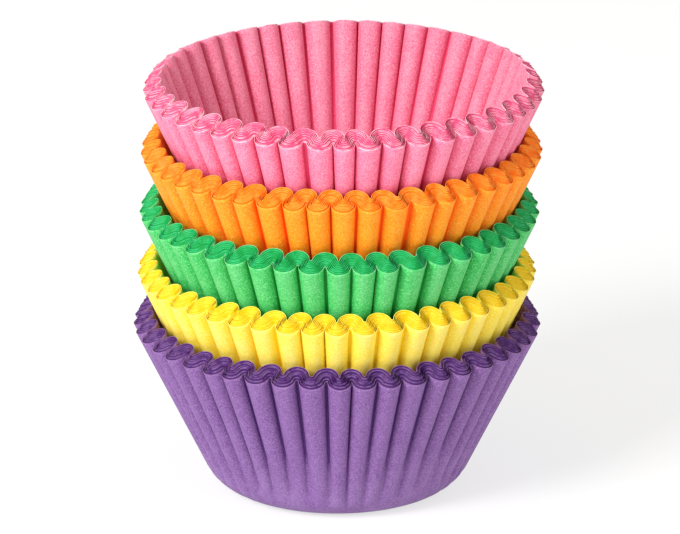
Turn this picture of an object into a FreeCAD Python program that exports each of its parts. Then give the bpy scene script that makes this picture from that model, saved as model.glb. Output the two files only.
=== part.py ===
"""A stack of fluted paper cupcake liners: five coloured bundles, one standing in the other.

Each bundle is a nest of thin paper cups. Every cup is one sheet, pressed from a round blank: a flat
base, a rounded corner and a leaning wall gathered into flutes. The flutes are deepest at the rim and
fade out in the corner. The sheets of a bundle are parallel, so each fold is wide on its outer side and
sharp on its inner side, and the sheets lie a little further apart at the rim than at the base. The lowest
bundle carries the others, which spread its mouth a little, so the second one sits deeper in it.

The origin is the middle of the bottom of the lowest cup. +Z is up and -Y is the front.
"""

import FreeCAD, Part
import math
import os

from FreeCAD import Placement, Rotation, Vector

SIZES = (
    ("flute_count", 45),
    ("liners_per_colour", 9),
    ("sheet_thickness", 0.08),
    ("base_gap", 0.06),
    ("foot_gap", 0.09),
    ("rim_gap", 0.19),
    ("base_flat_radius", 18.5),
    ("corner_radius", 8.0),
    ("mouth_radius", 38.6),
    ("lowest_mouth_radius", 39.4),
    ("cup_height", 32.3),
    ("flute_depth_foot", 0.9),
    ("flute_depth_rim", 2.4),
    ("fold_slope", 70.0),
    ("mouth_clearance", 0.5),
    ("seat_shift", 0.45),
    ("turn_step", 0.6),
)

COLOURS = ("purple", "yellow", "green", "orange", "pink")

# Each bundle leans against the mouth of the one below, in a direction seen from above, in degrees from +X,
# and is turned against the lowest one by a number of small steps.
SHIFT_DIRECTIONS = (90.0, -20.0, 30.0, -20.0)
TURN_STEPS = (0, 1, -1, 2, 0)

CORNER_RINGS = 3


def make_sizes(doc):
    """Write the driving dimensions to the spreadsheet, in millimetres and degrees."""
    sheet = doc.addObject("Spreadsheet::Sheet", "Sizes")
    for row, (alias, value) in enumerate(SIZES, start=1):
        sheet.set("A%d" % row, alias)
        sheet.set("B%d" % row, str(value))
        sheet.setAlias("B%d" % row, alias)
    doc.recompute()
    return sheet


class CupForm:
    """The shape of the cups of a bundle with a given mouth, worked out from the driving dimensions."""

    def __init__(self, sheet, mouth_radius):
        self.flutes = int(sheet.flute_count)
        self.half_turn = math.pi / self.flutes
        self.liners = int(sheet.liners_per_colour)
        self.thickness = float(sheet.sheet_thickness)
        self.base_pitch = self.thickness + float(sheet.base_gap)
        self.foot_pitch = self.thickness + float(sheet.foot_gap)
        self.rim_pitch = self.thickness + float(sheet.rim_gap)
        self.base_radius = float(sheet.base_flat_radius)
        self.corner_radius = float(sheet.corner_radius)
        self.mouth_radius = float(mouth_radius)
        self.height = float(sheet.cup_height)
        self.foot_flute = float(sheet.flute_depth_foot)
        self.rim_flute = float(sheet.flute_depth_rim)
        self.slope = math.radians(float(sheet.fold_slope))
        self.clearance = float(sheet.mouth_clearance)
        self.lean = self.wall_lean()

    def wall_lean(self):
        """Angle of the wall from upright: it leaves the corner's arc smoothly and ends at the mouth."""
        run = self.mouth_radius - self.base_radius
        rise = self.height - self.corner_radius
        return math.atan2(run, rise) - math.asin(self.corner_radius / math.hypot(run, rise))

    def bundle_depth(self, pitch):
        """Thickness of the whole nest of sheets where they lie at a pitch from each other."""
        return (self.liners - 1) * pitch + self.thickness

    def step_over(self, below):
        """How much higher than the bundle below this one stands, its wall clear of the folds of that mouth."""
        reach = below.bundle_depth(below.rim_pitch) + below.rim_flute + self.clearance
        reach -= (below.mouth_radius - self.mouth_radius) * math.cos(self.lean)
        return reach / math.sin(self.lean)

    def corner_point(self, share):
        """Radius, height and normal angle on the corner's arc: share 0 is its lower end, 1 the wall's foot."""
        angle = math.pi / 2 + (self.lean - math.pi / 2) * share
        radius = self.base_radius + self.corner_radius * math.cos(angle)
        return radius, self.corner_radius * (1 - math.sin(angle)), angle

    def rim_point(self, index):
        """The rim of one sheet. The blanks are equal, so an inner sheet, with its tighter corner, stands higher."""
        rise = index * (self.base_pitch + self.foot_pitch) / 2 * (math.pi / 2 - self.lean)
        radius = self.mouth_radius + rise * math.sin(self.lean)
        return radius, self.height + rise * math.cos(self.lean), self.lean


def inward(point, depth):
    """A point of the profile moved by a depth along its inward normal, as radius and height."""
    radius, height, angle = point
    return radius - depth * math.cos(angle), height + depth * math.sin(angle)


def place(radius, height, turn, side=0.0):
    """A point at a radius and height, at an angle about the axis and a distance to its side."""
    return Vector(radius * math.cos(turn) - side * math.sin(turn),
                  radius * math.sin(turn) + side * math.cos(turn), height)


def share_on_plane(start, end, corners):
    """How far along the line from start to end it meets the plane of three corners."""
    normal = (corners[1] - corners[0]).cross(corners[2] - corners[0])
    return normal.dot(corners[0] - start) / normal.dot(end - start)


class FlutedRing:
    """One level of a fluted wall: a rib and a groove, each with its radius, height and half width."""

    def __init__(self, form, point, flute, pitch, depth):
        middle = form.bundle_depth(pitch) / 2
        ring_radius = inward(point, middle + flute / 2)[0]
        shared = (form.half_turn * ring_radius - flute / math.tan(form.slope)) / 2
        spread = (middle - depth) * math.tan(form.slope / 2)
        self.form = form
        self.rib = (*inward(point, depth), shared + spread)
        self.groove = (*inward(point, depth + flute), shared - spread)

    def rib_corner(self):
        return place(self.rib[0], self.rib[1], 0.0, self.rib[2])

    def groove_corner(self):
        return place(self.groove[0], self.groove[1], self.form.half_turn, -self.groove[2])

    def set_groove_width(self, plane):
        """Widen or narrow the groove until its corner lies on a plane, so that the flank below is flat."""
        middle = place(self.groove[0], self.groove[1], self.form.half_turn)
        width = self.groove[2] * share_on_plane(middle, self.groove_corner(), plane)
        self.groove = (self.groove[0], self.groove[1], width)

    def slide_groove(self, lower, plane):
        """Slide the groove's corner along its crease until it lies on a plane, so that the cut edge is flat."""
        share = share_on_plane(lower.groove_corner(), self.groove_corner(), plane)
        self.groove = tuple(low + (high - low) * share for low, high in zip(lower.groove, self.groove))

    def corners(self):
        """All corners in turn: the two of a rib, then the two of the groove after it."""
        points = []
        for flute in range(self.form.flutes):
            turn = 2 * self.form.half_turn * flute
            for (radius, height, width), angle in ((self.rib, turn), (self.groove, turn + self.form.half_turn)):
                points += [place(radius, height, angle, -width), place(radius, height, angle, width)]
        return points


def smooth_ring(form, share, depth):
    """One level of the corner below the flutes, with a corner under each groove."""
    ring = inward(form.corner_point(share), depth)
    return [place(*ring, form.half_turn * (2 * flute + 1)) for flute in range(form.flutes)]


def facet(*points):
    """One flat face."""
    return Part.Face(Part.makePolygon([*points, points[0]]))


def band(lower, upper):
    """Flat faces between two rings with as many corners."""
    count = len(lower)
    faces = []
    for near in range(count):
        far = (near + 1) % count
        faces.append(facet(lower[near], lower[far], upper[far], upper[near]))
    return faces


def fade(lower, upper):
    """Flat faces between a smooth ring and the foot of the flutes, where the flutes run out."""
    faces = []
    for flute, under in enumerate(lower):
        rib_left, rib_right, groove_left, groove_right = upper[4 * flute:4 * flute + 4]
        next_rib = upper[(4 * flute + 4) % len(upper)]
        faces.append(facet(lower[flute - 1], under, rib_right, rib_left))
        faces.append(facet(under, groove_left, rib_right))
        faces.append(facet(under, groove_right, groove_left))
        faces.append(facet(under, next_rib, groove_right))
    return faces


def sheet_side(form, index, extra):
    """The rings of one side of a sheet: a depth of 0 below its outer side, or of the sheet's thickness."""
    base_depth = index * form.base_pitch + extra
    foot_depth = index * form.foot_pitch + extra
    rim_depth = index * form.rim_pitch + extra
    foot = FlutedRing(form, form.corner_point(1.0), form.foot_flute, form.foot_pitch, foot_depth)
    rim = FlutedRing(form, form.rim_point(index), form.rim_flute, form.rim_pitch, rim_depth)
    foot.set_groove_width((foot.rib_corner(), rim.rib_corner(), rim.groove_corner()))
    smooth = []
    for ring in range(CORNER_RINGS):
        share = ring / CORNER_RINGS
        smooth.append(smooth_ring(form, share, base_depth + (foot_depth - base_depth) * share))
    return smooth, foot, rim


def make_cup(form, index):
    """One paper cup of the nest, as a closed solid: its outer side, its inner side and the cut edge."""
    outer = sheet_side(form, index, 0.0)
    inner = sheet_side(form, index, form.thickness)
    outer_rim, inner_rim = outer[2], inner[2]
    inner_rim.slide_groove(inner[1], (outer_rim.rib_corner(), outer_rim.groove_corner(), inner_rim.rib_corner()))
    faces = band(outer_rim.corners(), inner_rim.corners())
    for smooth, foot, rim in (outer, inner):
        faces.append(facet(*smooth[0]))
        for lower, upper in zip(smooth, smooth[1:]):
            faces += band(lower, upper)
        faces += fade(smooth[-1], foot.corners())
        faces += band(foot.corners(), rim.corners())
    cup = Part.Solid(Part.makeShell(faces))
    if cup.Volume < 0:
        cup.reverse()
    return cup


def bundle_placement(forms, sheet, level):
    """Where a bundle stands: one step higher for each level, moved aside with those below it, and turned."""
    spot = Vector()
    for below, this in zip(forms[:level], forms[1:]):
        spot.z += this.step_over(below)
    for direction in SHIFT_DIRECTIONS[:level]:
        angle = math.radians(direction)
        spot += Vector(math.cos(angle), math.sin(angle), 0) * float(sheet.seat_shift)
    turn = TURN_STEPS[level] * float(sheet.turn_step) - 90.0
    return Placement(spot, Rotation(Vector(0, 0, 1), turn))


def build_stack(doc, sheet):
    """All cups of all bundles, each an object of its own."""
    lowest = CupForm(sheet, sheet.lowest_mouth_radius)
    upper = CupForm(sheet, sheet.mouth_radius)
    cups = {form: [make_cup(form, index) for index in range(form.liners)] for form in (lowest, upper)}
    forms = [lowest] + [upper] * (len(COLOURS) - 1)
    features = []
    for level, colour in enumerate(COLOURS):
        for number, cup in enumerate(cups[forms[level]], start=1):
            name = "%s_liner_%02d" % (colour, number)
            feature = doc.addObject("Part::Feature", name)
            feature.Label = name
            feature.Shape = cup
            feature.Placement = bundle_placement(forms, sheet, level)
            features.append(feature)
    return features


def check(doc, features):
    """Stop if any object failed or any cup isn't one sound solid."""
    for item in doc.Objects:
        if "Invalid" in item.State or "Error" in item.State:
            raise RuntimeError("%s failed: %s" % (item.Label, item.State))
    for feature in features:
        shape = feature.Shape
        if shape.isNull() or not shape.isValid() or len(shape.Solids) != 1:
            raise RuntimeError("%s isn't one valid solid" % feature.Label)


def main():
    doc = FreeCAD.newDocument("cupcake_liners")
    sheet = make_sizes(doc)
    features = build_stack(doc, sheet)
    doc.recompute()
    check(doc, features)
    os.makedirs("parts", exist_ok=True)
    for feature in features:
        feature.Shape.exportStep(os.path.join("parts", feature.Label + ".step"))


main()
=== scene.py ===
"""A stack of fluted paper cupcake liners: five coloured bundles, one standing in the other.

Each liner is one sheet of greaseproof paper: a flat base, a rounded corner and a leaning wall gathered
into flutes. The sheets of a bundle are parallel, so they share one pleated middle surface and each lies
at its own distance from it.
"""

import math

import bpy
import numpy as np
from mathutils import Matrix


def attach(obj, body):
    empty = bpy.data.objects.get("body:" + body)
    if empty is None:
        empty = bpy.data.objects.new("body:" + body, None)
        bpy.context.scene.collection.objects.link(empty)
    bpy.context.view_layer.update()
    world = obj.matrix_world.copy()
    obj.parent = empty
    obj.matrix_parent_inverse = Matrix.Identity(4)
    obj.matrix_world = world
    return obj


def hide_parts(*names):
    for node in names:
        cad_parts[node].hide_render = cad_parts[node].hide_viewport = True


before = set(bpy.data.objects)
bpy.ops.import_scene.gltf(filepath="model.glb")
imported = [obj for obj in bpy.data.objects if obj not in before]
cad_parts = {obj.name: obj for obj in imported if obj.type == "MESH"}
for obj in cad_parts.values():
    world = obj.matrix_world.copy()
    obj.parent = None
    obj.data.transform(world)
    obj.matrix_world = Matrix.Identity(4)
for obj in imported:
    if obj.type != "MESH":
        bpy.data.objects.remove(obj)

bl_info = {
    "name": "Stack of cupcake liners",
    "version": (1, 0, 0),
    "blender": (4, 5, 0),
    "location": "3D View > Sidebar > Liners",
    "description": "Builds five nested bundles of fluted paper cupcake liners on a plain stage",
    "category": "Add Mesh",
}

MM = 0.001
COLOURS = ("purple", "yellow", "green", "orange", "pink")
TOP_LEVEL = len(COLOURS) - 1

# Each bundle leans against the mouth of the one below in a direction, in degrees from +X, and is turned by
# small steps.
SHIFT_DIRECTIONS = (90.0, -20.0, 30.0, -20.0)
TURN_STEPS = (0, 1, -1, 2, 0)

# How the pleats stray from even ones round a turn: whole numbers of waves, each as high as the size over its
# number. The width and the lean are turns in radians, the depth is a share and the others are lengths: where
# along the profile a pleat fades out, and how far from round the rim is.
WIDTH_PLAY = ((7, 11, 16, 19, 22), 0.052)
LEAN_PLAY = ((3, 8, 13, 17), 0.014)
DEPTH_PLAY = ((5, 9, 14, 21), 0.30)
FADE_PLAY = ((6, 13, 20, 31), 9.0 * MM)
ROUND_PLAY = ((2, 3), 0.15 * MM)
PLAY_SEED = 20

# A turn in radians that draws the pleats closer at the front and the back than at the sides.
FRONT_GATHER = 0.018

# Mean and range of the depth of the pleats, as shares of their full depth.
MEAN_DEPTH, LEAST_DEPTH, MOST_DEPTH = 0.94, 0.86, 1.0

# The pleats begin this far below the foot of the wall and are full this far above it.
FADE_BELOW = 4.2 * MM
FADE_ABOVE = 4.0 * MM

# How unevenly the rims are trimmed: waves of each sheet's own, a shift of the whole rim, and the share of the
# wall below the rim over which the sheet gives way to them.
TRIM_PLAY = ((1, 2, 5, 9), 0.10 * MM)
TRIM_SHIFT = 0.05 * MM
TRIM_REACH = 0.25
TRIM_SEED, TRIM_SEEDS_PER_BUNDLE = 300, 20

# A pleat this deep has the full painted shade in its folds.
FOLD_SHADE_DEPTH = 1.5 * MM

# Width of the band below the cut edge where the colour is deepest: partly deeper dye along the cut, partly
# painted shade in the gaps between the sheets.
DEEP_BAND = 0.7 * MM

# The least turn of an arc and depth of a pleat, to divide by where there is none.
LEAST_TURN = 1e-3
LEAST_PLEAT = 0.001 * MM

# Steps of a bulge's and of a groove's quarter wave: many where the arc is wide and shows, few where it is
# tight. Rows of the corner and the wall: many on the two sides that show whole, the lowest and the topmost.
OUTERMOST_STEPS = (8, 4)
OUTER_STEPS = (3, 2)
INNER_STEPS = (2, 3)
INNERMOST_STEPS = (2, 6)
TOP_INNERMOST_STEPS = (4, 8)
BARE_CORNER_ROWS, CORNER_ROWS = 10, 5
BARE_WALL_SHARES = (0.05, 0.10)
OUTERMOST_WALL_SHARES = tuple(np.linspace(0, 1, 7)[1:-1])
WALL_SHARES = (0.5,)

# Radius at which the paper is unrolled for patterns that follow it, and how much further along its inner
# side lies there than its outer side.
UNROLL_RADIUS = 28 * MM
INNER_LIFT = 100 * MM

# Tones of each paper beside those of the panel: painted shade in the folds, also the dark of the mottle, the
# low tone on the wall, the cut edge of the sheets between and the worn line along the outermost edge. Then how
# much of that line shows.
TONES = {
    "purple": {"fold": "#46206A", "low": "#9D7CAF", "cut": "#86629F", "line": "#8F6C90"},
    "yellow": {"fold": "#FFD800", "low": "#FFE034", "cut": "#FFE650", "line": "#FFF08A"},
    "green": {"fold": "#048A34", "low": "#2FBE58", "cut": "#3ECB84", "line": "#8FDCA4"},
    "orange": {"fold": "#FF5200", "low": "#FF7A00", "cut": "#FFB648", "line": "#FFB850"},
    "pink": {"fold": "#D01C54", "low": "#F2608C", "cut": "#FFC4D4", "line": "#FFD8E2"},
}
LINE_SHARE = {"purple": 0.5, "yellow": 0.5, "green": 0.6, "orange": 0.4, "pink": 0.85}

# Where the low tone lies. On the lowest bundle it fades out this far above the foot. On the others, whose
# lower part stood in the cup below, it is painted shade that deepens towards the rim of that cup, and it
# begins and is full this far below the rim.
LOW_TONE_RISE = 16 * MM
CONTACT_SHADE_FROM, CONTACT_SHADE_BELOW = 6 * MM, 14 * MM

# Scales of the paper's noises, in features per metre: the mottle of the fibres, the clouds of the pulp, pale
# flecks, streaks, which are stretched along the pleats, and the wear of the edges.
MOTTLE, CLOUD, FLECK, STREAK, WEAR = 2400.0, 170.0, 3600.0, 900.0, 700.0
STREAK_STRETCH = (1.0, 1.0, 0.05)

# Pale flecks are the rib's tone, in linear light, times a gain and with a lift. The inner side is a little
# darker in red and blue, as the light there has met the paper more than once.
FLECK_GAIN, FLECK_LIFT = 1.15, 0.07
INNER_TINT = (0.89, 0.96, 0.90, 1.0)

# The stage: the floor's half width, the share of plain white that the camera sees in it and the strength of
# that white, the surroundings' light and how bright they look, and the lamps' target.
FLOOR_REACH = 6.0
FLOOR_WHITE_SHARE, FLOOR_WHITE = 0.60, 1.12
ROOM_LIGHT, ROOM_SEEN = 0.50, 1.0
LAMP_TARGET = (0.0, 0.0, 0.045)

# The camera: the point it looks at, its distance, its tilt down, lens and sensor width.
AIM = (0.57 * MM, 0.0, 43.4 * MM)
CAMERA_AWAY = 1.45
CAMERA_TILT = math.radians(18.95)
LENS, SENSOR_WIDTH = 397.0, 36.0


def linear(code):
    """An sRGB hex colour as linear red, green, blue and alpha, by the two-part sRGB curve."""
    parts = [int(code[i:i + 2], 16) / 255 for i in (1, 3, 5)]
    return tuple(c / 12.92 if c <= 0.04045 else ((c + 0.055) / 1.055) ** 2.4 for c in parts) + (1.0,)


def length(name, about, default):
    """A length property, given in millimetres and kept in metres."""
    return bpy.props.FloatProperty(name=name, description=about, default=default * MM, min=0.0,
                                   unit="LENGTH", subtype="DISTANCE", precision=5)


def tone(name, about, code):
    """A colour property from an sRGB hex code."""
    return bpy.props.FloatVectorProperty(name=name, description=about, default=linear(code), size=4,
                                         min=0.0, max=1.0, subtype="COLOR")


class LinerSizes(bpy.types.PropertyGroup):
    """Sizes that all liners share."""

    flutes: bpy.props.IntProperty(name="Flutes", description="Pleats around one liner", default=45, min=8)
    liners: bpy.props.IntProperty(name="Liners", description="Sheets in one bundle", default=9, min=1)
    thickness: length("Paper", "Thickness of a sheet", 0.08)
    base_pitch: length("Base pitch", "Sheet to sheet on the flat base", 0.14)
    foot_pitch: length("Foot pitch", "Sheet to sheet at the foot of the wall", 0.17)
    rim_pitch: length("Rim pitch", "Sheet to sheet at the rim", 0.27)
    base_radius: length("Base", "Radius of the flat base", 18.5)
    corner_radius: length("Corner", "Radius between base and wall", 8.0)
    mouth_radius: length("Mouth", "Radius of the outermost rim", 38.6)
    lowest_mouth_radius: length("Lowest mouth", "Radius of the lowest bundle's outermost rim", 39.4)
    height: length("Height", "Height of the outermost liner", 32.3)
    foot_flute: length("Foot flute", "Depth of the flutes at the foot of the wall", 0.9)
    rim_flute: length("Rim flute", "Depth of the flutes at the rim", 2.4)
    clearance: length("Clearance", "Room between one bundle and the mouth below", 0.5)
    seat_shift: length("Seat shift", "How far each bundle lies off the middle of the one below", 0.45)
    turn_step: bpy.props.FloatProperty(name="Turn", description="One step of turn between bundles",
                                       default=math.radians(0.6), subtype="ANGLE")


class PaperColours(bpy.types.PropertyGroup):
    """Colours of the five papers: the open wall, painted sheen on the ribs, and dye with painted shade at the
    cut edge.
    """

    # Each rib tone is painted sheen on the rib crests. Each rim tone is partly deeper dye along the cut edge
    # and partly painted shade in the gaps between the sheets.
    purple_wall: tone("Purple wall", "Face of the purple paper", "#825897")
    purple_rib: tone("Purple rib", "Rubbed ribs of the purple paper", "#8A63A1")
    purple_rim: tone("Purple rim", "Purple paper along its cut edge", "#43185F")
    yellow_wall: tone("Yellow wall", "Face of the yellow paper", "#FFE03C")
    yellow_rib: tone("Yellow rib", "Rubbed ribs of the yellow paper", "#FBE070")
    yellow_rim: tone("Yellow rim", "Yellow paper along its cut edge", "#F0C400")
    green_wall: tone("Green wall", "Face of the green paper", "#37BE5B")
    green_rib: tone("Green rib", "Rubbed ribs of the green paper", "#64C878")
    green_rim: tone("Green rim", "Green paper along its cut edge", "#029A46")
    orange_wall: tone("Orange wall", "Face of the orange paper", "#FF8E00")
    orange_rib: tone("Orange rib", "Rubbed ribs of the orange paper", "#FFA01E")
    orange_rim: tone("Orange rim", "Orange paper along its cut edge", "#FF7A06")
    pink_wall: tone("Pink wall", "Face of the pink paper", "#F4779B")
    pink_rib: tone("Pink rib", "Rubbed ribs of the pink paper", "#F992AE")
    pink_rim: tone("Pink rim", "Pink paper along its cut edge", "#E0507C")
    floor: tone("Floor", "Plain pale floor", "#F4F4F2")


class CupForm:
    """The profile and pleats that the liners of a bundle with a given mouth share."""

    def __init__(self, sizes, mouth_radius):
        self.sizes = sizes
        self.mouth_radius = mouth_radius
        run = mouth_radius - sizes.base_radius
        rise = sizes.height - sizes.corner_radius
        self.lean = math.atan2(run, rise) - math.asin(sizes.corner_radius / math.hypot(run, rise))
        self.foot = sizes.base_radius + sizes.corner_radius * (math.pi / 2 - self.lean)
        foot_radius = sizes.base_radius + sizes.corner_radius * math.cos(self.lean)
        self.rim = self.foot + (mouth_radius - foot_radius) / math.sin(self.lean)

    def nest(self, pitch):
        """Thickness of all sheets together at a pitch."""
        return (self.sizes.liners - 1) * pitch + self.sizes.thickness

    def step_over(self, below):
        """How much higher this bundle stands than the one below, its wall clear of the folds of that mouth:
        the depth of nest, flutes and clearance, less what the wider mouth gives, over the lean's sine."""
        reach = self.nest(self.sizes.rim_pitch) + self.sizes.rim_flute + self.sizes.clearance
        reach -= (below.mouth_radius - self.mouth_radius) * math.cos(self.lean)
        return reach / math.sin(self.lean)

    def profile(self, way):
        """Radius, height and normal angle at a length along the outermost profile: a flat, an arc that turns
        from a right angle to the wall's lean, and a straight wall."""
        sizes = self.sizes
        turned = np.clip((way - sizes.base_radius) / sizes.corner_radius, 0, math.pi / 2 - self.lean)
        angle = math.pi / 2 - turned
        on_flat = np.minimum(way, sizes.base_radius)
        on_wall = np.maximum(way - self.foot, 0)
        radius = on_flat + sizes.corner_radius * np.cos(angle) + on_wall * math.sin(self.lean)
        height = sizes.corner_radius * (1 - np.sin(angle)) + on_wall * math.cos(self.lean)
        return radius, height, angle

    def wall_share(self, way):
        """A length along the profile as a share of the wall: 0 at its foot, 1 at the outermost rim."""
        return (way - self.foot) / (self.rim - self.foot)

    def pitch(self, way):
        """Sheet to sheet distance: straight lines between its values on base, foot and rim."""
        sizes = self.sizes
        return np.interp(way, (sizes.base_radius, self.foot, self.rim),
                         (sizes.base_pitch, sizes.foot_pitch, sizes.rim_pitch))

    def rise(self, index):
        """How much further up the wall an inner sheet ends, as the blanks are equal and its corner is
        tighter: the mean distance from the outermost sheet times the corner's turn."""
        return index * (self.sizes.base_pitch + self.sizes.foot_pitch) / 2 * (math.pi / 2 - self.lean)


def ripple(turn, counts, size, random):
    """Sum of sines with whole numbers of periods in a turn, each as high as size over its count."""
    total = np.zeros_like(turn)
    for count in counts:
        total += size / count * np.sin(count * turn + random.uniform(0, 2 * math.pi))
    return total


class Bundle:
    """Where one bundle stands and how its pleats stray from even ones; all its sheets share it."""

    def __init__(self, sizes, level):
        lowest = CupForm(sizes, sizes.lowest_mouth_radius)
        upper = CupForm(sizes, sizes.mouth_radius)
        forms = [lowest] + [upper] * level
        self.form = forms[level]
        self.level = level
        self.spot = np.zeros(3)
        self.spot[2] = sum(this.step_over(below) for below, this in zip(forms, forms[1:]))
        for direction in SHIFT_DIRECTIONS[:level]:
            angle = math.radians(direction)
            self.spot += np.array((math.cos(angle), math.sin(angle), 0)) * sizes.seat_shift
        self.turn = TURN_STEPS[level] * sizes.turn_step - math.pi / 2

    def columns(self, steps):
        """Columns of a whole turn, from crest to crest: the turn of each among even pleats, the middle of
        the flute that it belongs to, its side of that flute, 1 on a bulge and -1 in a groove, and the share
        of the quarter wave between the middle of that bulge or groove and the flank."""
        bulge, groove = steps
        bulge_shares = np.linspace(0, 1, bulge + 1)[:-1]
        groove_shares = np.linspace(1, 0, groove + 1)
        half = [(1, 1, share) for share in bulge_shares] + [(1, -1, share) for share in groove_shares]
        other = [(-1, arc, share) for side, arc, share in half[::-1]][1:-1]
        side, arc, share = np.array(half + other).T
        flutes = self.form.sizes.flutes
        step = 2 * math.pi / flutes
        middle = (np.arange(flutes)[:, None] * step + np.where(side < 0, step, 0)[None, :]).ravel()
        side, arc, share = (np.tile(values, flutes) for values in (side, arc, share))
        about = middle + side * np.where(arc > 0, share, 2 - share) * math.pi / 2 / flutes
        return about, middle, side, arc, share

    def side(self, index, extra, ways, steps, trim):
        """One side of a sheet as a grid of points, a row for each length along the profile, with how deep in
        a fold each point lies and its place on the unrolled paper. Extra is 0 on the outer side and the
        sheet's thickness on the inner one.

        The middle surface is a wave of equal arcs that meet on the flanks. With half the flute's width w and
        depth a, an arc turns by b, the double arc tangent of a over w, and has radius w over twice the sine
        of b. A sheet at distance e outwards has its points moved by e times the sine of the arc's angle
        aside and by e times its cosine outwards, so the outer arcs widen as the inner ones tighten.
        """
        form = self.form
        sizes = form.sizes
        about, middle, side, arc, share = self.columns(steps)
        random = np.random.default_rng(PLAY_SEED + self.level)
        width_play = ripple(about, *WIDTH_PLAY, random) - FRONT_GATHER * np.sin(2 * about)
        lean_play = ripple(about, *LEAN_PLAY, random)
        depth_play = np.clip(MEAN_DEPTH + ripple(about, *DEPTH_PLAY, random), LEAST_DEPTH, MOST_DEPTH)
        fade_play = ripple(about, *FADE_PLAY, random)
        round_play = ripple(about, *ROUND_PLAY, random)

        near_rim = np.clip((form.wall_share(ways) - 1) / TRIM_REACH + 1, 0, 1)
        way = ways[:, None] + trim[None, :] * near_rim[:, None]
        radius, height, angle = form.profile(way)
        pitch = form.pitch(way)
        mean = form.nest(pitch) / 2
        wall = np.maximum(form.wall_share(way), 0)

        fade_start = form.foot - FADE_BELOW - fade_play
        fade_end = form.foot + FADE_ABOVE - fade_play
        fade = np.clip((way - fade_start) / (fade_end - fade_start), 0, 1)
        depth = (sizes.foot_flute + (sizes.rim_flute - sizes.foot_flute) * wall) * depth_play
        depth = depth * fade * fade * (3 - 2 * fade)

        ring = radius - (mean + depth / 2) * np.cos(angle)
        width = math.pi * ring / sizes.flutes
        turned = np.maximum(2 * np.arctan(depth / width), LEAST_TURN)
        theta = turned * share
        out = mean - (index * pitch + extra)
        aside = width / 2 * np.sin(theta) / np.sin(turned)
        aside = np.where(arc > 0, aside, width - aside) + out * np.sin(theta)
        lift = depth / 2 * (1 - (1 - np.cos(theta)) / (1 - np.cos(turned)))
        lift = np.where(arc > 0, lift, -lift) + out * np.cos(theta)

        inward = mean + depth / 2 - lift
        out_radius = radius - inward * np.cos(angle) + round_play * wall
        out_height = height + inward * np.sin(angle)
        turn = self.turn + middle + side * aside / ring + width_play + lean_play * wall
        points = np.stack((out_radius * np.cos(turn), out_radius * np.sin(turn), out_height), -1)
        valley = np.clip((depth / 2 + out - lift) / np.maximum(depth, LEAST_PLEAT), 0, 1)
        valley *= np.clip(depth / FOLD_SHADE_DEPTH, 0, 1)
        unrolled = np.empty(points.shape)
        unrolled[..., 0] = UNROLL_RADIUS * np.cos(about)
        unrolled[..., 1] = UNROLL_RADIUS * np.sin(about)
        unrolled[..., 2] = way
        return points + self.spot, valley, unrolled

    def trim(self, index, steps):
        """How unevenly a sheet's rim is cut and pushed up along the wall: slow waves of its own, in metres."""
        about = self.columns(steps)[0]
        random = np.random.default_rng(TRIM_SEED + TRIM_SEEDS_PER_BUNDLE * self.level + index)
        return ripple(about, *TRIM_PLAY, random) + random.uniform(-TRIM_SHIFT, TRIM_SHIFT)

    def steps(self, index):
        """Steps of the bulge and groove of one sheet."""
        last = self.form.sizes.liners - 1
        if index == 0:
            return OUTERMOST_STEPS
        if index == last:
            return TOP_INNERMOST_STEPS if self.level == TOP_LEVEL else INNERMOST_STEPS
        return OUTER_STEPS if index < last / 2 else INNER_STEPS

    def ways(self, index):
        """The rows of one side of a sheet, as lengths along the profile from the flat's edge to the rim."""
        form = self.form
        bare = (self.level, index) in ((0, 0), (TOP_LEVEL, form.sizes.liners - 1))
        rim = form.rim + form.rise(index)
        corner = np.linspace(form.sizes.base_radius, form.foot, BARE_CORNER_ROWS if bare else CORNER_ROWS)
        shares = OUTERMOST_WALL_SHARES if index == 0 or bare else WALL_SHARES
        if bare:
            shares = BARE_WALL_SHARES + shares
        wall = form.foot + (rim - form.foot) * np.array(shares)
        return np.concatenate((corner, wall, (rim - DEEP_BAND, rim)))

    def liner(self, index):
        """A closed sheet: its outer side from the pole to the rim, then its inner side back to the pole.
        Returns the grid, the fold, edge and unrolled values of its points, the poles and the row of the rim.
        The edge value grows to 1 at the cut edge, or falls to -1 on the bare sides of the bundle."""
        sizes = self.form.sizes
        last = sizes.liners - 1
        steps = self.steps(index)
        ways = self.ways(index)
        trim = self.trim(index, steps)
        outer, outer_valley, outer_flat = self.side(index, 0.0, ways, steps, trim)
        inner, inner_valley, inner_flat = self.side(index, sizes.thickness, ways, steps, trim)
        low = index * sizes.base_pitch
        poles = np.array(((0, 0, low), (0, 0, low + sizes.thickness))) + self.spot
        grid = np.concatenate((outer, inner[::-1]))
        fold = np.concatenate((outer_valley, 1 - inner_valley[::-1]))
        edge = np.zeros(grid.shape[:2])
        rows = len(ways)
        edge[rows - 1] = 1.0 if index > 0 else -1.0
        edge[rows] = 1.0 if index < last else -1.0
        unrolled = np.concatenate((outer_flat, inner_flat[::-1] + np.array((0, 0, INNER_LIFT))))
        return grid, fold, edge, unrolled, poles, rows


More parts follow.
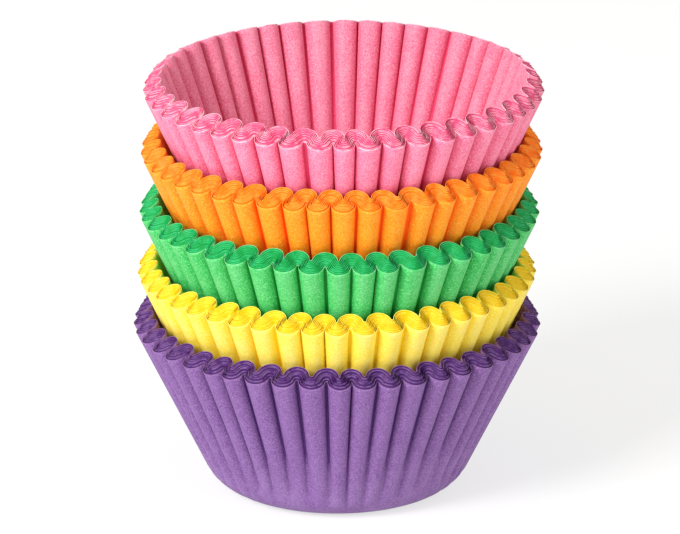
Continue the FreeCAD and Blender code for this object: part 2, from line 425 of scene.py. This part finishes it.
def closed_mesh(name, grid, fold, edge, unrolled, poles, rim_row):
    """A mesh from a grid that closes round its columns, with a fan to a pole at each end. The faces of the
    cut edge, between the rows rim_row - 1 and rim_row, are flat and take the second material."""
    rows, columns = grid.shape[:2]
    here = np.arange(columns)
    after = (here + 1) % columns
    row = (np.arange(rows - 1) * columns)[:, None]
    above = row + columns
    quads = np.stack((row + here, row + after, above + after, above + here), -1).reshape(-1, 4)
    first, last = rows * columns, rows * columns + 1
    top = (rows - 1) * columns
    start = np.stack((np.full(columns, first), after, here), -1)
    end = np.stack((np.full(columns, last), top + here, top + after), -1)
    loops = np.concatenate((quads.ravel(), start.ravel(), end.ravel())).astype(np.int32)
    sizes = np.concatenate((np.full(len(quads), 4), np.full(2 * columns, 3)))
    starts = np.concatenate(((0,), np.cumsum(sizes)[:-1])).astype(np.int32)
    points = np.concatenate((grid.reshape(-1, 3), poles)).astype(np.float32)
    cut = np.zeros(len(sizes), bool)
    cut[(rim_row - 1) * columns:rim_row * columns] = True

    mesh = bpy.data.meshes.new(name)
    mesh.vertices.add(len(points))
    mesh.vertices.foreach_set("co", points.ravel())
    mesh.loops.add(len(loops))
    mesh.loops.foreach_set("vertex_index", loops)
    mesh.polygons.add(len(sizes))
    mesh.polygons.foreach_set("loop_start", starts)
    mesh.update(calc_edges=True)
    mesh.polygons.foreach_set("use_smooth", ~cut)
    mesh.polygons.foreach_set("material_index", cut.astype(np.int32))
    for title, values in (("fold", fold), ("edge", edge)):
        made = mesh.attributes.new(title, "FLOAT", "POINT")
        made.data.foreach_set("value", np.concatenate((values.ravel(), (0, 0))).astype(np.float32))
    made = mesh.attributes.new("unrolled", "FLOAT_VECTOR", "POINT")
    ends = np.concatenate((unrolled.reshape(-1, 3), ((0, 0, 0), (0, 0, INNER_LIFT)))).astype(np.float32)
    made.data.foreach_set("vector", ends.ravel())
    mesh.validate()
    return mesh


def empty_tree(block):
    """The node tree of a material or world, without nodes."""
    block.use_nodes = True
    block.node_tree.nodes.clear()
    return block.node_tree


def node(tree, kind, settings=(), **inputs):
    """Add a shader node, set its properties, and set or link each input named by its socket."""
    made = tree.nodes.new(kind)
    for key, value in dict(settings).items():
        setattr(made, key, value)
    for key, value in inputs.items():
        name = key.replace("_", " ")
        socket = made.inputs[int(name[3:])] if name.startswith("in ") else made.inputs[name]
        if isinstance(value, bpy.types.NodeSocket):
            tree.links.new(value, socket)
        else:
            socket.default_value = value
    return made


def attribute(tree, name, output="Fac"):
    """A value that the mesh holds for each of its points."""
    return node(tree, "ShaderNodeAttribute", {"attribute_name": name}).outputs[output]


def ramp(tree, value, low, high, most, kind="LINEAR"):
    """A value mapped from low..high to 0..most, held at both ends."""
    made = node(tree, "ShaderNodeMapRange", {"interpolation_type": kind}, Value=value, From_Min=low,
                From_Max=high, To_Max=most)
    return made.outputs["Result"]


def times(tree, first, second):
    """The product of two values."""
    return node(tree, "ShaderNodeMath", {"operation": "MULTIPLY"}, in_0=first, in_1=second).outputs[0]


def blend(tree, amount, first, second, way="MIX"):
    """A mix of two colours, or the first taken towards its product with the second."""
    made = node(tree, "ShaderNodeMix", {"data_type": "RGBA", "blend_type": way}, in_0=amount, in_6=first,
                in_7=second)
    return made.outputs[2]


def noise(tree, place, scale, detail):
    """Fractal noise with a scale in features per metre."""
    made = node(tree, "ShaderNodeTexNoise", Vector=place, Scale=scale, Detail=detail, Roughness=0.6)
    return made.outputs["Fac"]


def worn_share(tree, place):
    """Where the edges are worn: 1 where they have lost their dye, 0 where they keep it."""
    return ramp(tree, noise(tree, place, WEAR, detail=3.0), 0.38, 0.58, 1.0)


def paper(name, tones, low, high, line_share):
    """Dyed greaseproof paper, calendered so that it is smooth with a faint sheen. Short fibres give it a
    mottle about half a millimetre across, pale flecks and faint streaks along the pleats. The rib crests
    have a paler painted sheen and the folds a deeper painted shade. The inner side is painted a little darker
    for light that has met the paper more than once. Along the cut edge of the sheets between the colour
    deepens, partly dye soaked in and partly painted shade in the gaps between the sheets. From the length
    high down to low along the outer side's profile it changes to its low tone: on the upper bundles painted
    shade towards the rim of the cup below, on the lowest a tone towards the foot. The outermost edge is worn
    to a fine broken pale line."""
    material = bpy.data.materials.new(name)
    tree = empty_tree(material)
    place = node(tree, "ShaderNodeTexCoord").outputs["Object"]
    unrolled = attribute(tree, "unrolled", "Vector")
    fold = attribute(tree, "fold")
    edge = attribute(tree, "edge")
    along = node(tree, "ShaderNodeMapping", Vector=unrolled, Scale=STREAK_STRETCH).outputs["Vector"]
    reach = node(tree, "ShaderNodeSeparateXYZ", Vector=unrolled).outputs["Z"]
    inner = ramp(tree, reach, INNER_LIFT - 5 * MM, INNER_LIFT - 4 * MM, 1.0)
    mottle = noise(tree, place, MOTTLE, detail=4.0)
    cloud = noise(tree, place, CLOUD, detail=2.0)
    fleck = noise(tree, place, FLECK, detail=2.0)
    streak = noise(tree, along, STREAK, detail=2.0)
    worn = worn_share(tree, place)
    pale = tuple(min(FLECK_GAIN * c + FLECK_LIFT, 1.0) for c in tones["rib"][:3]) + (1.0,)

    # Painted sheen: the rib crests, where the fold value is low, take the paler rib tone.
    colour = blend(tree, ramp(tree, fold, 0.0, 0.45, 1.0, "SMOOTHSTEP"), tones["rib"], tones["wall"])
    # The low tone: on the upper bundles painted shade towards the rim of the cup below, on the lowest a change
    # towards it near the foot.
    colour = blend(tree, ramp(tree, reach, high, low, 0.55, "SMOOTHSTEP"), colour, tones["low"])
    colour = blend(tree, ramp(tree, cloud, 0.38, 0.60, 0.70), colour, tones["wall"])
    colour = blend(tree, ramp(tree, mottle, 0.57, 0.34, 0.42), colour, tones["fold"])
    colour = blend(tree, ramp(tree, streak, 0.50, 0.78, 0.40), colour, tones["rib"])
    colour = blend(tree, ramp(tree, fleck, 0.49, 0.68, 0.85), colour, pale)
    colour = blend(tree, inner, colour, INNER_TINT, "MULTIPLY")
    # Painted shade: the grooves take the dark fold tone.
    colour = blend(tree, ramp(tree, fold, 0.60, 0.98, 0.80, "SMOOTHSTEP"), colour, tones["fold"])
    # The band below the cut edge of the sheets between: partly deeper dye, partly painted shade in the gaps.
    colour = blend(tree, ramp(tree, edge, 0.0, 0.45, 0.94), colour, tones["rim"])
    cut = times(tree, worn, ramp(tree, edge, 0.80, 0.88, 0.60))
    colour = blend(tree, cut, colour, tones["cut"])
    line = times(tree, worn, ramp(tree, edge, -0.76, -0.88, line_share))
    colour = blend(tree, line, colour, tones["line"])

    bump = node(tree, "ShaderNodeBump", Strength=0.35, Distance=0.05 * MM, Height=mottle)
    shader = node(tree, "ShaderNodeBsdfPrincipled", Base_Color=colour, Roughness=0.55, IOR=1.45,
                  Specular_IOR_Level=0.25, Normal=bump.outputs["Normal"])
    node(tree, "ShaderNodeOutputMaterial", Surface=shader.outputs["BSDF"])
    return material


def cut_edge(name, worn, dyed):
    """The cut edge of dyed greaseproof paper: pressed fibre ends, matt, in a mix of worn and dyed fibres."""
    material = bpy.data.materials.new(name)
    tree = empty_tree(material)
    place = node(tree, "ShaderNodeTexCoord").outputs["Object"]
    mixed = blend(tree, worn_share(tree, place), dyed, worn)
    shader = node(tree, "ShaderNodeBsdfPrincipled", Base_Color=mixed, Roughness=0.8, IOR=1.45,
                  Specular_IOR_Level=0.15)
    node(tree, "ShaderNodeOutputMaterial", Surface=shader.outputs["BSDF"])
    return material


def build_bundle(context, level):
    """All liners of one colour, each a closed shell that stands for its node."""
    sizes = context.scene.liner_sizes
    colours = context.scene.paper_colours
    colour = COLOURS[level]
    bundle = Bundle(sizes, level)
    form = bundle.form
    tones = {part: tuple(getattr(colours, colour + "_" + part)) for part in ("wall", "rib", "rim")}
    tones.update((part, linear(code)) for part, code in TONES[colour].items())
    if level == 0:
        low, high = form.foot, form.foot + LOW_TONE_RISE
    else:
        low, high = form.rim - CONTACT_SHADE_BELOW, form.rim - CONTACT_SHADE_FROM
    sheet = paper(colour + " greaseproof paper", tones, low, high, LINE_SHARE[colour])
    # The cut faces of the sheets between mix the pale cut tone with the rim tone, which is partly painted
    # shade.
    inner_cut = cut_edge(colour + " cut paper edge", tones["cut"], tones["rim"])
    worn_cut = cut_edge(colour + " worn paper edge", tones["line"], tones["wall"])
    last = sizes.liners - 1
    for index in range(sizes.liners):
        name = "%s_paper_liner_%02d" % (colour, index + 1)
        piece = bpy.data.objects.new(name, closed_mesh(name, *bundle.liner(index)))
        context.scene.collection.objects.link(piece)
        piece.data.materials.append(sheet)
        piece.data.materials.append(worn_cut if index in (0, last) else inner_cut)
        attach(piece, "root")
        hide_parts("%s_liner_%02d" % (colour, index + 1))
    return {"FINISHED"}


class PurpleBundle(bpy.types.Operator):
    """Add the purple liners, which stand on the floor and show their whole wall"""

    bl_idname = "liners.purple"
    bl_label = "Purple liners"

    def execute(self, context):
        return build_bundle(context, 0)


class YellowBundle(bpy.types.Operator):
    """Add the yellow liners, in the purple ones"""

    bl_idname = "liners.yellow"
    bl_label = "Yellow liners"

    def execute(self, context):
        return build_bundle(context, 1)


class GreenBundle(bpy.types.Operator):
    """Add the green liners, in the yellow ones"""

    bl_idname = "liners.green"
    bl_label = "Green liners"

    def execute(self, context):
        return build_bundle(context, 2)


class OrangeBundle(bpy.types.Operator):
    """Add the orange liners, in the green ones"""

    bl_idname = "liners.orange"
    bl_label = "Orange liners"

    def execute(self, context):
        return build_bundle(context, 3)


class PinkBundle(bpy.types.Operator):
    """Add the pink liners on top, whose inside shows"""

    bl_idname = "liners.pink"
    bl_label = "Pink liners"

    def execute(self, context):
        return build_bundle(context, TOP_LEVEL)


def seen_by(tree, *kinds):
    """1 for rays of any of these kinds, else 0."""
    rays = node(tree, "ShaderNodeLightPath")
    found = rays.outputs[kinds[0]]
    for kind in kinds[1:]:
        found = node(tree, "ShaderNodeMath", {"operation": "MAXIMUM"}, in_0=found, in_1=rays.outputs[kind])
        found = found.outputs[0]
    return found


def floor_material(colour):
    """Matt white card. For the camera it is partly plain white and partly the lit card, so that it keeps a
    faint soft shadow."""
    material = bpy.data.materials.new("matt white card")
    tree = empty_tree(material)
    seen = seen_by(tree, "Is Camera Ray", "Is Glossy Ray", "Is Transmission Ray")
    card = node(tree, "ShaderNodeBsdfDiffuse", Color=tuple(colour)).outputs["BSDF"]
    white = node(tree, "ShaderNodeEmission", Strength=FLOOR_WHITE).outputs["Emission"]
    both = node(tree, "ShaderNodeMixShader", in_0=times(tree, seen, FLOOR_WHITE_SHARE), in_1=card, in_2=white)
    node(tree, "ShaderNodeOutputMaterial", Surface=both.outputs["Shader"])
    return material


def lamp(context, name, place, size, power):
    """A square softbox at a place, turned to the lamps' target."""
    data = bpy.data.lights.new(name, "AREA")
    data.size = size
    data.energy = power
    item = bpy.data.objects.new(name, data)
    item.location = place
    to = np.array(LAMP_TARGET) - np.array(place)
    item.rotation_euler = (math.atan2(math.hypot(to[0], to[1]), -to[2]), 0, math.atan2(-to[0], to[1]))
    context.scene.collection.objects.link(item)


class PlainStage(bpy.types.Operator):
    """Add the floor, the soft light, the white surroundings and the camera"""

    bl_idname = "liners.stage"
    bl_label = "Stage"

    def execute(self, context):
        scene = context.scene
        corners = [(x * FLOOR_REACH, y * FLOOR_REACH, 0) for x, y in ((-1, -1), (1, -1), (1, 1), (-1, 1))]
        mesh = bpy.data.meshes.new("floor")
        mesh.from_pydata(corners, [], [(0, 1, 2, 3)])
        mesh.materials.append(floor_material(scene.paper_colours.floor))
        floor = bpy.data.objects.new("floor", mesh)
        scene.collection.objects.link(floor)

        world = bpy.data.worlds.new("studio")
        tree = empty_tree(world)
        seen = seen_by(tree, "Is Camera Ray", "Is Glossy Ray")
        strength = node(tree, "ShaderNodeMapRange", Value=seen, To_Min=ROOM_LIGHT, To_Max=ROOM_SEEN)
        background = node(tree, "ShaderNodeBackground", Color=(1, 1, 1, 1),
                          Strength=strength.outputs["Result"])
        node(tree, "ShaderNodeOutputWorld", Surface=background.outputs["Background"])
        scene.world = world

        lamp(context, "key softbox", place=(-0.80, -0.85, 0.80), size=0.55, power=20.0)
        lamp(context, "fill softbox", place=(0.95, -0.80, 0.50), size=0.80, power=4.5)

        view = bpy.data.cameras.new("camera")
        view.sensor_width = SENSOR_WIDTH
        view.lens = LENS
        camera = bpy.data.objects.new("camera", view)
        camera.location = (AIM[0], AIM[1] - CAMERA_AWAY * math.cos(CAMERA_TILT),
                           AIM[2] + CAMERA_AWAY * math.sin(CAMERA_TILT))
        camera.rotation_euler = (math.pi / 2 - CAMERA_TILT, 0, 0)
        scene.collection.objects.link(camera)
        scene.camera = camera
        scene.view_settings.view_transform = "Standard"
        return {"FINISHED"}


class LinerPanel(bpy.types.Panel):
    """Sizes, colours and the steps that build the stack"""

    bl_idname = "VIEW3D_PT_liners"
    bl_label = "Cupcake liners"
    bl_space_type = "VIEW_3D"
    bl_region_type = "UI"
    bl_category = "Liners"

    def draw(self, context):
        layout = self.layout
        for group in (context.scene.liner_sizes, context.scene.paper_colours):
            for name in group.__annotations__:
                layout.prop(group, name)
        for step in STEPS:
            layout.operator(step.bl_idname)


STEPS = (PurpleBundle, YellowBundle, GreenBundle, OrangeBundle, PinkBundle, PlainStage)
CLASSES = (LinerSizes, PaperColours, *STEPS, LinerPanel)


def register():
    for item in CLASSES:
        bpy.utils.register_class(item)
    bpy.types.Scene.liner_sizes = bpy.props.PointerProperty(type=LinerSizes)
    bpy.types.Scene.paper_colours = bpy.props.PointerProperty(type=PaperColours)


def unregister():
    del bpy.types.Scene.paper_colours
    del bpy.types.Scene.liner_sizes
    for item in reversed(CLASSES):
        bpy.utils.unregister_class(item)


def main():
    register()
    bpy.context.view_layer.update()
    bpy.ops.liners.purple()
    bpy.ops.liners.yellow()
    bpy.ops.liners.green()
    bpy.ops.liners.orange()
    bpy.ops.liners.pink()
    bpy.ops.liners.stage()


if __name__ == "__main__":
    main()
